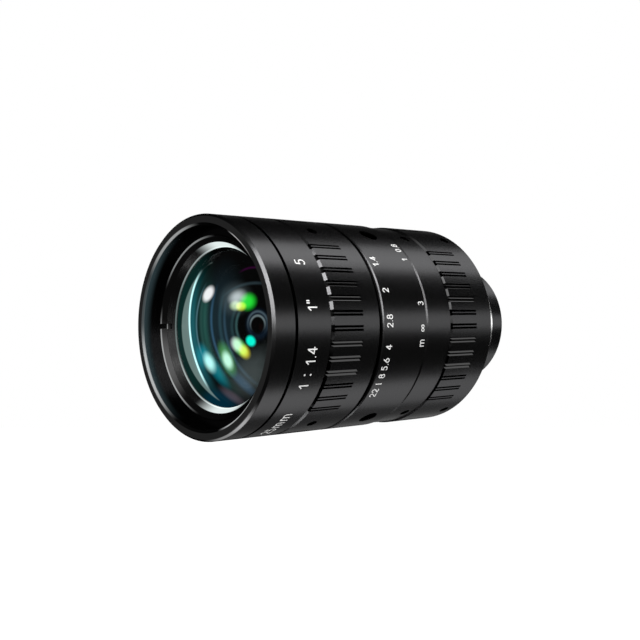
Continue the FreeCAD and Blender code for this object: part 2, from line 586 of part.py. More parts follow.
def make_cam():
    """Ring whose curved slots close the blades in step with the iris ring.
    A slot's centre line is the drive pin's path as the turning cam sees it."""
    front, rear = value("cam_front - flange_station"), value("cam_rear - flange_station")
    pivot, reach = value("pivot_circle"), value("drive_reach")
    lean, ratio = value("drive_angle"), value("blade_ratio")
    rest, full = value("iris_rest_turn"), value("iris_scale_turn")
    margin, half = value("slot_margin"), value("pin_radius + pin_clearance")
    backward = FreeCAD.Vector(0, rear - front, 0)

    def pin_centre(turn):
        bearing = math.radians(90 + lean / 2 + turn * ratio)
        x, z = pivot + reach * math.cos(bearing), reach * math.sin(bearing)
        swing = math.radians(turn - rest)
        return FreeCAD.Vector(x * math.cos(swing) - z * math.sin(swing), front,
                              x * math.sin(swing) + z * math.cos(swing))

    turns = [-margin + (full + 2 * margin) * step / 12 for step in range(13)]
    middle = [pin_centre(turn) for turn in turns]
    ways = [(pin_centre(turn + 0.1) - pin_centre(turn - 0.1)).normalize() for turn in turns]
    sides = []
    for side in (1, -1):
        line = Part.BSplineCurve()
        line.interpolate([spot + FreeCAD.Vector(-way.z, 0, way.x) * half * side
                          for spot, way in zip(middle, ways)])
        sides.append(line.toShape())
    caps = [Part.Arc(sides[0].Vertexes[end].Point, middle[index] + ways[index] * half * outward,
                     sides[1].Vertexes[end].Point).toShape()
            for end, index, outward in ((0, 0, -1), (1, -1, 1))]
    wire = Part.Wire(Part.__sortEdges__(sides + caps))
    slot = Part.Face(wire).extrude(backward)
    axis = FreeCAD.Vector(0, 1, 0)
    centre = FreeCAD.Vector(0, 0, 0)
    plate = Part.makeCylinder(value("cam_outer"), rear - front, FreeCAD.Vector(0, front, 0), axis)
    bore = value("iris_open_radius + cam_bore_step")
    plate = plate.cut(Part.makeCylinder(bore, rear - front, FreeCAD.Vector(0, front, 0), axis))
    cuts = []
    for number in range(blade_count):
        copy = slot.copy()
        copy.rotate(centre, axis, 360 / blade_count * number)
        cuts.append(copy)
    floor = value("drive_foot - notch_room")
    wide = value("drive_pin_radius + notch_room")
    notch = Part.makeBox(2 * wide, rear - front, wide + value("drive_pin_depth"),
                         FreeCAD.Vector(-wide, front, floor))
    notch.rotate(centre, axis, 90 - value("notch_at"))
    shape = plate.cut(cuts + [notch])
    cam = document.addObject("Part::Feature", "iris_cam")
    cam.Label = "iris_cam"
    cam.Shape = shape.Solids[0]
    return cam


def make_iris_ring():
    """Knurled ring, the sleeve that it is clamped to, its set screws and the drive pin."""
    ring = turned("iris_ring", [
        ("grip_inner", "iris_front"),
        ("barrel_radius - iris_chamfer", "iris_front"),
        ("barrel_radius", "iris_front + iris_chamfer")]
        + broken_edge("barrel_radius", "iris_rear", 1) + [
        ("grip_inner", "iris_rear")])
    cut_grip(ring, "iris_ring", "iris_front", "iris_groove_length")
    sleeve = turned("iris_sleeve", [
        ("sleeve_inner", "sleeve_front"), ("sleeve_outer", "sleeve_front"),
        ("sleeve_outer", "sleeve_rear"), ("sleeve_inner", "sleeve_rear")])
    hole = "set_screw_radius + screwed_clearance"
    radial_holes(ring, "iris_screw", "iris_screws_at", hole, "grip_inner - edge_break",
                 "barrel_radius + edge_break")
    radial_holes(sleeve, "iris_dimple", "iris_screws_at", hole, "sleeve_outer - set_screw_bite",
                 "sleeve_outer + edge_break")
    socket = radial_feature(sleeve, "pin_socket", "Pocket", "drive_station",
                            "drive_pin_radius + screwed_clearance", "sleeve_inner - edge_break",
                            "sleeve_inner + drive_pin_grip + screwed_clearance", "notch_at")
    sleeve.Tip = socket
    screws = screw_group("iris_set_screws", "iris_screws_at", "sleeve_outer - set_screw_bite")
    pin = document.addObject("Part::Cylinder", "iris_drive_pin")
    pin.Label = "iris_drive_pin"
    pin.setExpression("Radius", bound("drive_pin_radius"))
    pin.setExpression("Height", bound("sleeve_inner + drive_pin_grip - drive_foot"))
    pin.Placement = FreeCAD.Placement(
        FreeCAD.Vector(0, 0, 0), FreeCAD.Rotation(FreeCAD.Vector(0, 1, 0), 90 - value("notch_at")))
    pin.setExpression("Placement.Rotation.Angle", bound("90 - notch_at"))
    pin.setExpression("Placement.Base.x", bound("drive_foot * cos(notch_at)"))
    pin.setExpression("Placement.Base.y", bound("drive_station - flange_station"))
    pin.setExpression("Placement.Base.z", bound("drive_foot * sin(notch_at)"))
    return [ring, sleeve, screws, pin]


def screw_group(label, station, foot):
    """Three set screws with hexagonal sockets, spaced evenly round the lens."""
    body = new_body(label)
    head = "%s + set_screw_length" % foot
    shank = radial_feature(body, label + "_shank", "Pad", station, "set_screw_radius", foot, head)
    socket = radial_feature(body, label + "_socket", "Pocket", station, "socket_flats / 1.732",
                            "%s - set_screw_length / 2" % head, head, "180", 6)
    pattern = body.newObject("PartDesign::PolarPattern", label + "_all")
    pattern.Originals = [shank, socket]
    pattern.Axis = (origin_part(body, "Y_Axis"), [""])
    pattern.Angle = 360
    pattern.Occurrences = sector_count
    body.Tip = pattern
    return body


def make_middle_barrel():
    """Fixed barrel between the rings, with three guide keys through its wall."""
    body = turned("middle_barrel", [
        ("journal_radius + screwed_clearance", "middle_front"),
        ("barrel_radius - middle_chamfer", "middle_front"),
        ("barrel_radius", "middle_front + middle_chamfer")]
        + broken_edge("barrel_radius", "middle_rear", 1) + [
        ("middle_journal", "middle_rear"),
        ("middle_journal", "keeper_front"),
        ("keeper_inner", "keeper_front"),
        ("keeper_inner", "keeper_rear"),
        ("middle_bore", "keeper_rear"),
        ("middle_bore", "tube_rear"),
        ("journal_radius + screwed_clearance", "tube_rear")])
    radial_holes(body, "key_head", "keys_at", "key_head_bore", "key_seat_radius",
                 "barrel_radius + edge_break")
    radial_holes(body, "key_shank", "keys_at", "key_shank_radius + screwed_clearance",
                 "middle_bore - edge_break", "key_seat_radius + edge_break")
    keys = new_body("guide_keys")
    stages = [
        radial_feature(keys, "key_head", "Pad", "keys_at", "key_head_radius", "key_seat_radius",
                       "key_seat_radius + key_head_height"),
        radial_feature(keys, "key_shank", "Pad", "keys_at", "key_shank_radius", "middle_bore",
                       "key_seat_radius"),
        radial_feature(keys, "key_nose", "Pad", "keys_at", "key_nose_radius", "key_foot_radius",
                       "middle_bore"),
        radial_feature(keys, "key_slot", "Pocket", "keys_at", "key_slot_width",
                       "key_seat_radius + key_head_height / 2", "key_seat_radius + key_head_height",
                       "180", 6)]
    pattern = keys.newObject("PartDesign::PolarPattern", "keys_all")
    pattern.Originals = stages
    pattern.Axis = (origin_part(keys, "Y_Axis"), [""])
    pattern.Angle = 360
    pattern.Occurrences = sector_count
    keys.Tip = pattern
    return [body, keys]


def make_rear_barrel():
    """Inner barrel: holds the rear group, slides in the mount's tube and carries the nose."""
    window, relay = "rear_window + bulge_clearance", "sixth_seat + relay_seat_length"
    return turned("rear_barrel", [
        ("group_bore", "base_rear"),
        ("chamber_radius - screwed_clearance", "base_rear"),
        ("chamber_radius - screwed_clearance", "tube_rear"),
        ("collar_radius", "tube_rear"),
        ("collar_radius", "tube_rear + collar_length"),
        ("waist_radius", "tube_rear + collar_length"),
        ("waist_radius", "collar_rear - collar_length"),
        ("collar_radius", "collar_rear - collar_length"),
        ("collar_radius", "collar_rear"),
        ("nose_radius", "collar_rear"),
        ("nose_radius", "nose_rear - thread_chamfer"),
        ("nose_radius - thread_chamfer", "nose_rear"),
        ("nose_bore", "nose_rear"),
        ("nose_bore", "nose_seat"),
        ("baffle_radius", "nose_seat"),
        ("baffle_radius", relay),
        (window, relay),
        (window, "sixth_seat"),
        ("group_bore", "sixth_seat")])


def make_rear_group():
    """Cemented pair, spacer and sixth element in the barrel, last element in the nose."""
    opening = "rear_window + bulge_clearance"
    ring_front = "base_rear + rear_ring_room"
    retainer = turned("rear_group_retainer", [
        ("fourth_hollow", ring_front), ("rear_group_radius", ring_front),
        ("rear_group_radius", "fourth_flat"), ("fourth_hollow", "fourth_flat")])
    fourth = turned("fourth_element", [
        ("0", "fourth_back + cement_drop"),
        ("0", "fourth_front", ("fourth_front_curve", -1)),
        ("fourth_hollow", "fourth_flat"),
        ("rear_group_radius", "fourth_flat"),
        ("rear_group_radius", "fourth_back", ("cement_curve", 1))])
    fifth = turned("fifth_element", [
        ("0", "fifth_rear"),
        ("0", "fifth_flat + cement_drop", ("cement_curve", -1)),
        ("rear_group_radius", "fifth_flat"),
        ("rear_group_radius", "fifth_back"),
        ("rear_window", "fifth_back", ("fifth_rear_curve", 1))])
    spacer = turned("rear_spacer", [
        (opening, "fifth_back"), ("rear_group_radius", "fifth_back"),
        ("rear_group_radius", "sixth_flat"), (opening, "sixth_flat")])
    sixth = turned("sixth_element", [
        ("0", "sixth_rear"),
        ("0", "sixth_front", ("sixth_front_curve", 1)),
        ("rear_window", "sixth_flat"),
        ("rear_group_radius", "sixth_flat"),
        ("rear_group_radius", "sixth_seat"),
        ("rear_window", "sixth_seat", ("sixth_rear_curve", 1))])
    seventh = turned("seventh_element", [
        ("0", "seventh_rear"),
        ("0", "seventh_front", ("seventh_front_curve", 1)),
        ("seventh_window", "nose_seat"),
        ("seventh_radius", "nose_seat"),
        ("seventh_radius", "seventh_seat"),
        ("seventh_window", "seventh_seat", ("seventh_rear_curve", 1))])
    last = "seventh_seat + last_ring_length"
    ring = turned("rear_retaining_ring", [
        ("baffle_radius", "seventh_seat"), ("seventh_radius", "seventh_seat"),
        ("seventh_radius", last), ("baffle_radius", last)])
    return [retainer, fourth, fifth, spacer, sixth, seventh, ring]


def make_focus_ring():
    """Focus ring, the nut clamped inside it and the keeper that holds it on its journal."""
    ring = turned("focus_ring", [
        ("lip_inner", "focus_front"),
        ("step_radius - focus_chamfer", "focus_front"),
        ("step_radius", "focus_front + focus_chamfer"),
        ("step_radius", "grip_front"),
        ("barrel_radius", "grip_front + focus_rise_length"),
        ("barrel_radius", "focus_rear - focus_rear_chamfer"),
        ("barrel_radius - focus_rear_chamfer", "focus_rear"),
        ("focus_bore", "focus_rear"),
        ("focus_bore", "lip_rear"),
        ("lip_inner", "lip_rear")])
    cut_grip(ring, "focus_ring", "grip_front", "focus_groove_length")
    nut = turned("focus_nut", [
        ("nut_inner", "nut_front"), ("nut_outer", "nut_front"),
        ("nut_outer", "nut_rear"), ("nut_inner", "nut_rear")])
    hole = "set_screw_radius + screwed_clearance"
    groups = []
    for name, station in (("focus_front_screws", "front_screws_at"), ("focus_rear_screws", "rear_screws_at")):
        radial_holes(ring, name + "_tapping", station, hole, "focus_bore - edge_break",
                     "barrel_radius + edge_break")
        radial_holes(nut, name + "_dimple", station, hole, "nut_outer - set_screw_bite",
                     "nut_outer + edge_break")
        groups.append(screw_group(name, station, "nut_outer - set_screw_bite"))
    keeper = turned("focus_retainer", [
        ("keeper_inner + screwed_clearance", "keeper_front"), ("keeper_outer", "keeper_front"),
        ("keeper_outer", "keeper_rear"), ("keeper_inner + screwed_clearance", "keeper_rear")])
    return [ring, nut, keeper] + groups


def make_mount():
    """Fixed rear barrel with its slotted guide tube, the flange ring and the threaded ring."""
    socket = "shank_radius + screwed_clearance"
    body = turned("mount_barrel", [
        ("guide_inner", "guide_front"),
        ("guide_outer", "guide_front"),
        ("guide_outer", "stop_front"),
        ("stop_radius", "stop_front"),
        ("stop_radius", "stop_rear"),
        ("neck_radius", "neck_front"),
        ("neck_radius", "neck_rear"),
        (socket, "neck_rear"),
        (socket, "socket_front"),
        ("rear_bore", "socket_front"),
        ("rear_bore", "guide_rear"),
        ("guide_inner", "guide_rear")])
    sketch = new_sketch(body, "guide_slot_outline", "YZ_Plane", "-(guide_outer + edge_break)")
    half = "(key_nose_radius + key_nose_clearance)"
    front = "guide_front - edge_break"
    draw_outline(sketch, [
        (front, "-" + half), ("key_slot_end", "-" + half), ("key_slot_end", half), (front, half)])
    slot = body.newObject("PartDesign::Pocket", "guide_slot")
    slot.Profile = sketch
    slot.Type = "Length"
    slot.setExpression("Length", bound("guide_wall + 3 * edge_break"))
    slot.Reversed = True
    around(body, "guide_slots", slot, sector_count)
    flange = turned("flange_ring", [
        (socket, "neck_rear"),
        ("flange_radius - flange_break", "neck_rear"),
        ("flange_radius", "neck_rear + flange_break"),
        ("flange_radius", "flange_station - flange_break"),
        ("flange_radius - flange_break", "flange_station"),
        ("thread_radius + slide_clearance", "flange_station"),
        ("thread_radius + slide_clearance", "flange_station - undercut_length"),
        (socket, "flange_station - undercut_length")])
    ring = turned("c_mount_ring", [
        ("rear_bore", "socket_front"),
        ("shank_radius", "socket_front"),
        ("shank_radius", "flange_station - undercut_length"),
        ("thread_radius - undercut_depth", "flange_station - undercut_length"),
        ("thread_radius - undercut_depth", "flange_station"),
        ("thread_radius", "flange_station"),
        ("thread_radius", "thread_rear - thread_chamfer"),
        ("thread_radius - thread_chamfer", "thread_rear"),
        ("rear_bore", "thread_rear")])
    return [body, flange, ring]


pieces = [make_front_ring(), make_retaining_ring(), make_front_element(), make_front_barrel()]
pieces += make_front_group()
pieces += [make_iris_base(), make_cam()]
pieces += [make_blade(number) for number in range(blade_count)]
pieces += make_iris_ring() + make_middle_barrel()
pieces += [make_rear_barrel()] + make_rear_group()
pieces += make_focus_ring() + make_mount()
document.recompute()

for thing in document.Objects:
    if "Invalid" in thing.State or "Error" in thing.State:
        raise RuntimeError("feature failed: " + thing.Name + " " + str(thing.State))

os.makedirs("parts", exist_ok=True)
for piece in pieces:
    if piece.Shape.isNull() or not piece.Shape.isValid():
        raise RuntimeError("shape failed: " + piece.Label)
    piece.Shape.exportStep("parts/" + piece.Label + ".step")
print("parts written:", len(pieces))
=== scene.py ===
import json
import math
import bmesh
import bpy
import numpy as np
from mathutils import Matrix, Vector

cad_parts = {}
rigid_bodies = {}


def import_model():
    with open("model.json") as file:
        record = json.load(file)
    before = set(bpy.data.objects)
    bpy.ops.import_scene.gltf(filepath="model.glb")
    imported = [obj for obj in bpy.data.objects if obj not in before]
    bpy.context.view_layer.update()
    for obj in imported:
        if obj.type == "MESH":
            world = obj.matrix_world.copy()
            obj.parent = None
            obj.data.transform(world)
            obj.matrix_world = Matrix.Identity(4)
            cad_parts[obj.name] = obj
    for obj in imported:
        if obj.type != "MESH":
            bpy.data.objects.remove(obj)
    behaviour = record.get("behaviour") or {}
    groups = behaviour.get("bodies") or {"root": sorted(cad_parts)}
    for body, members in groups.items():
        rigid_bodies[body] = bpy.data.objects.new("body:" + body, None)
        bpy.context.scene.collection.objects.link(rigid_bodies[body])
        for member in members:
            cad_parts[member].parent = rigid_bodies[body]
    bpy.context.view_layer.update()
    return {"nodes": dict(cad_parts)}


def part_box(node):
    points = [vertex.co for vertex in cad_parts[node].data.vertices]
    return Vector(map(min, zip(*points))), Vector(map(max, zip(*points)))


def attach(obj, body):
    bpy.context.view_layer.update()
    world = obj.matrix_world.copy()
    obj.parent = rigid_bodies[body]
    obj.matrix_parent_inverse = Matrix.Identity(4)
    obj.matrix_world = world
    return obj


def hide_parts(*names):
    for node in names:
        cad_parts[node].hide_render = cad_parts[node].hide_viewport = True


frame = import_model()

nodes = frame["nodes"]
mm = 0.001
print("frame loaded:", len(nodes), "nodes")

# Stations are millimetres along the axis from the front rim, angles are degrees from +X towards +Z.
lens = {
    "rimY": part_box("front_ring")[0].y,
    "barrelRadius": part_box("middle_barrel")[1].z / mm,
    "focusPlain": 6.93,  # smooth part of the focus ring, in front of its grip
}
lens["irisFront"] = (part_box("iris_ring")[0].y - lens["rimY"]) / mm
lens["gripFront"] = (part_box("focus_ring")[0].y - lens["rimY"]) / mm + lens["focusPlain"]


def stationY(station):
    return lens["rimY"] + station * mm


def newMaterial(name):
    material = bpy.data.materials.new(name)
    material.use_nodes = True
    tree = material.node_tree
    return material, tree, tree.nodes["Principled BSDF"]


def addNode(tree, kind, **values):
    node = tree.nodes.new(kind)
    for key, value in values.items():
        setattr(node, key, value)
    return node


def feed(tree, socket, value):
    # a number or a colour is typed in, a socket is linked
    if isinstance(value, bpy.types.NodeSocket):
        tree.links.new(value, socket)
    else:
        socket.default_value = value


def maths(tree, operation, *inputs, clamp=False):
    node = addNode(tree, "ShaderNodeMath", operation=operation, use_clamp=clamp)
    for socket, value in zip(node.inputs, inputs):
        feed(tree, socket, value)
    return node.outputs["Value"]


def vectorMaths(tree, operation, first, second=None):
    node = addNode(tree, "ShaderNodeVectorMath", operation=operation)
    feed(tree, node.inputs[0], first)
    if second is not None:
        feed(tree, node.inputs["Scale"] if operation == "SCALE" else node.inputs[1], second)
    return node.outputs["Value" if operation in ("LENGTH", "DOT_PRODUCT") else "Vector"]


def joinVector(tree, *parts):
    node = addNode(tree, "ShaderNodeCombineXYZ")
    for socket, part in zip(node.inputs, parts):
        feed(tree, socket, part)
    return node.outputs["Vector"]


def splitVector(tree, vector):
    node = addNode(tree, "ShaderNodeSeparateXYZ")
    tree.links.new(vector, node.inputs["Vector"])
    return node.outputs


def smoothRange(tree, value, low, high, first=0.0, last=1.0):
    # the first number up to low, the last one from high on, and a smooth way between them
    node = addNode(tree, "ShaderNodeMapRange", interpolation_type="SMOOTHSTEP")
    for label, entry in (("Value", value), ("From Min", low), ("From Max", high),
                         ("To Min", first), ("To Max", last)):
        feed(tree, node.inputs[label], entry)
    return node.outputs["Result"]


def mixColours(tree, mask, first, second):
    # the first colour where the mask is 0, the second where it is 1
    node = addNode(tree, "ShaderNodeMix", data_type="RGBA")
    sockets = {socket.identifier: socket for socket in (*node.inputs, *node.outputs)}
    tree.links.new(mask, sockets["Factor_Float"])
    sockets["A_Color"].default_value = (*first, 1)
    sockets["B_Color"].default_value = (*second, 1)
    return sockets["Result_Color"]


def newGroup(name, inputs, outputs):
    group = bpy.data.node_groups.new(name, "ShaderNodeTree")
    for label, start in inputs.items():
        socket = group.interface.new_socket(label, in_out="INPUT", socket_type="NodeSocketFloat")
        socket.default_value = start
    for label in outputs:
        group.interface.new_socket(label, in_out="OUTPUT", socket_type="NodeSocketFloat")
    return group, group.nodes.new("NodeGroupInput").outputs, group.nodes.new("NodeGroupOutput").inputs


grainDetail, smearDetail = 1.0, 4.0


def makeGrain():
    # bead-blasted pits as a height, and slow handling smears as a shift of the roughness
    group, given, result = newGroup("anodisedGrain", {"Grain Size": 9000.0, "Smear Size": 60.0, "Smear": 0.04},
                                    ("Height", "Shift"))
    place = addNode(group, "ShaderNodeTexCoord").outputs["Object"]
    noises = []
    for size, detail in (("Grain Size", grainDetail), ("Smear Size", smearDetail)):
        noise = addNode(group, "ShaderNodeTexNoise")
        noise.inputs["Detail"].default_value = detail
        group.links.new(place, noise.inputs["Vector"])
        group.links.new(given[size], noise.inputs["Scale"])
        noises.append(noise.outputs["Fac"])
    centred = maths(group, "SUBTRACT", noises[1], 0.5)
    group.links.new(maths(group, "MULTIPLY", centred, given["Smear"]), result["Shift"])
    group.links.new(noises[0], result["Height"])
    return group


grainEffect = makeGrain()

pitDepth = 0.02 * mm
finishes = {
    # name: colour, roughness, metallic, grain, edge tint
    "satinBlack": ((0.046, 0.046, 0.047), 0.25, 1.0, 0.20, 0.45),
    "turnedBlack": ((0.060, 0.060, 0.060), 0.22, 1.0, 0.10, 0.60),
    "mattBlack": ((0.004, 0.004, 0.0042), 0.55, 0.0, 0.40, 1.0),
    "blackSteel": ((0.020, 0.020, 0.020), 0.35, 1.0, 0.05, 0.6),
    "brightSteel": ((0.78, 0.78, 0.77), 0.24, 1.0, 0.03, 1.0),
    "turnedBrass": ((0.62, 0.45, 0.18), 0.30, 1.0, 0.03, 1.0),
    "whiteFill": ((0.88, 0.88, 0.87), 0.50, 0.0, 0.10, 1.0),
}


def makeFinish(name):
    colour, roughness, metallic, grain, tint = finishes[name]
    material, tree, shader = newMaterial(name)
    shader.inputs["Base Color"].default_value = (*colour, 1)
    shader.inputs["Metallic"].default_value = metallic
    shader.inputs["Specular Tint"].default_value = (tint, tint, tint, 1)
    effect = addNode(tree, "ShaderNodeGroup", node_tree=grainEffect)
    bump = addNode(tree, "ShaderNodeBump")
    bump.inputs["Strength"].default_value = grain
    bump.inputs["Distance"].default_value = pitDepth
    tree.links.new(maths(tree, "ADD", effect.outputs["Shift"], roughness), shader.inputs["Roughness"])
    tree.links.new(effect.outputs["Height"], bump.inputs["Height"])
    tree.links.new(bump.outputs["Normal"], shader.inputs["Normal"])
    return material


finish = {name: makeFinish(name) for name in finishes}


def clothe(name, material):
    node = nodes[name]
    node.data.materials.clear()
    node.data.materials.append(material)


dress = {
    "blackSteel": ["iris_set_screws", "focus_front_screws", "focus_rear_screws", "guide_keys", "iris_drive_pin"]
    + [name for name in nodes if name.startswith("iris_blade")],
    "mattBlack": ["rear_barrel", "front_spacer", "rear_spacer", "iris_base", "iris_cam", "front_group_retainer",
                  "rear_group_retainer", "focus_retainer", "iris_sleeve"],
    "brightSteel": ["flange_ring"],
    "turnedBrass": ["focus_nut"],
    "turnedBlack": ["front_retaining_ring"],
}
for name in nodes:
    chosen = [key for key, names in dress.items() if name in names]
    clothe(name, finish[chosen[0] if chosen else "satinBlack"])


def flatPlace(tree):
    # the place across the axis in millimetres, as (x, 0, z)
    place = addNode(tree, "ShaderNodeTexCoord").outputs["Object"]
    return vectorMaths(tree, "MULTIPLY", place, (1 / mm, 0, 1 / mm))


def placeMask(tree, effect, **values):
    node = addNode(tree, "ShaderNodeGroup", node_tree=effect)
    for label, value in values.items():
        feed(tree, node.inputs[label], value)
    return node.outputs["Mask"]


def makeEllipse():
    # 1 inside an ellipse round (X, Z) in millimetres, falling to 0 over its edge; Turn is from +X towards +Z
    group, given, result = newGroup("ellipseMask", {"X": 0.0, "Z": 0.0, "Across": 1.0, "Over": 1.0, "Turn": 0.0,
                                                    "Soft": 0.1}, ("Mask",))
    mapping = addNode(group, "ShaderNodeMapping", vector_type="TEXTURE")
    turned = maths(group, "MULTIPLY", given["Turn"], -math.pi / 180)
    for label, vector in (("Vector", flatPlace(group)),
                          ("Location", joinVector(group, given["X"], 0, given["Z"])),
                          ("Rotation", joinVector(group, 0, turned, 0)),
                          ("Scale", joinVector(group, given["Across"], 1, given["Over"]))):
        group.links.new(vector, mapping.inputs[label])
    reach = vectorMaths(group, "LENGTH", mapping.outputs["Vector"])
    inner, outer = (maths(group, step, 1.0, given["Soft"]) for step in ("SUBTRACT", "ADD"))
    group.links.new(smoothRange(group, reach, inner, outer, 1, 0), result["Mask"])
    return group


def makeLine():
    # a line of that width along an ellipse, as a wider ellipse less a slimmer one, with edges that fade over
    # a length
    group, given, result = newGroup("lineMask", {"X": 0.0, "Z": 0.0, "Across": 1.0, "Over": 1.0, "Turn": 0.0,
                                                 "Width": 0.1, "Edge": 0.1}, ("Mask",))
    half = maths(group, "MULTIPLY", given["Width"], 0.5)
    soft = maths(group, "DIVIDE", given["Edge"], given["Over"])
    wide, slim = (placeMask(group, ellipseEffect, X=given["X"], Z=given["Z"], Turn=given["Turn"], Soft=soft,
                            Across=maths(group, step, given["Across"], half),
                            Over=maths(group, step, given["Over"], half)) for step in ("ADD", "SUBTRACT"))
    group.links.new(maths(group, "SUBTRACT", wide, slim, clamp=True), result["Mask"])
    return group


def makeStation():
    # 1 in front of a station, falling to 0 at a second one
    group, given, result = newGroup("stationMask", {"Near": 0.0, "Far": 1.0}, ("Mask",))
    place = splitVector(group, addNode(group, "ShaderNodeTexCoord").outputs["Object"])
    station = maths(group, "MULTIPLY", maths(group, "SUBTRACT", place["Y"], lens["rimY"]), 1 / mm)
    group.links.new(smoothRange(group, station, given["Near"], given["Far"], 1, 0), result["Mask"])
    return group


ellipseEffect = makeEllipse()
lineEffect = makeLine()
stationEffect = makeStation()


def spotMask(tree, x, z, across, over, turn, soft):
    return placeMask(tree, ellipseEffect, X=x, Z=z, Across=across, Over=over, Turn=turn, Soft=soft)


def lineMask(tree, x, z, across, over, turn, width, edge):
    return placeMask(tree, lineEffect, X=x, Z=z, Across=across, Over=over, Turn=turn, Width=width, Edge=edge)


def bandMask(tree, near, far):
    return placeMask(tree, stationEffect, Near=near, Far=far)


def showToCamera(tree, layers, where=None):
    # each mask shows its colour to the camera alone, so that the painted light reaches nothing else
    total = None
    for colour, mask in layers:
        tinted = vectorMaths(tree, "SCALE", colour, mask)
        total = tinted if total is None else vectorMaths(tree, "ADD", total, tinted)
    seen = addNode(tree, "ShaderNodeLightPath").outputs["Is Camera Ray"]
    if where is not None:
        seen = maths(tree, "MULTIPLY", where, seen)
    shader = tree.nodes["Principled BSDF"]
    tree.links.new(vectorMaths(tree, "SCALE", total, seen), shader.inputs["Emission Color"])
    shader.inputs["Emission Strength"].default_value = 1.0


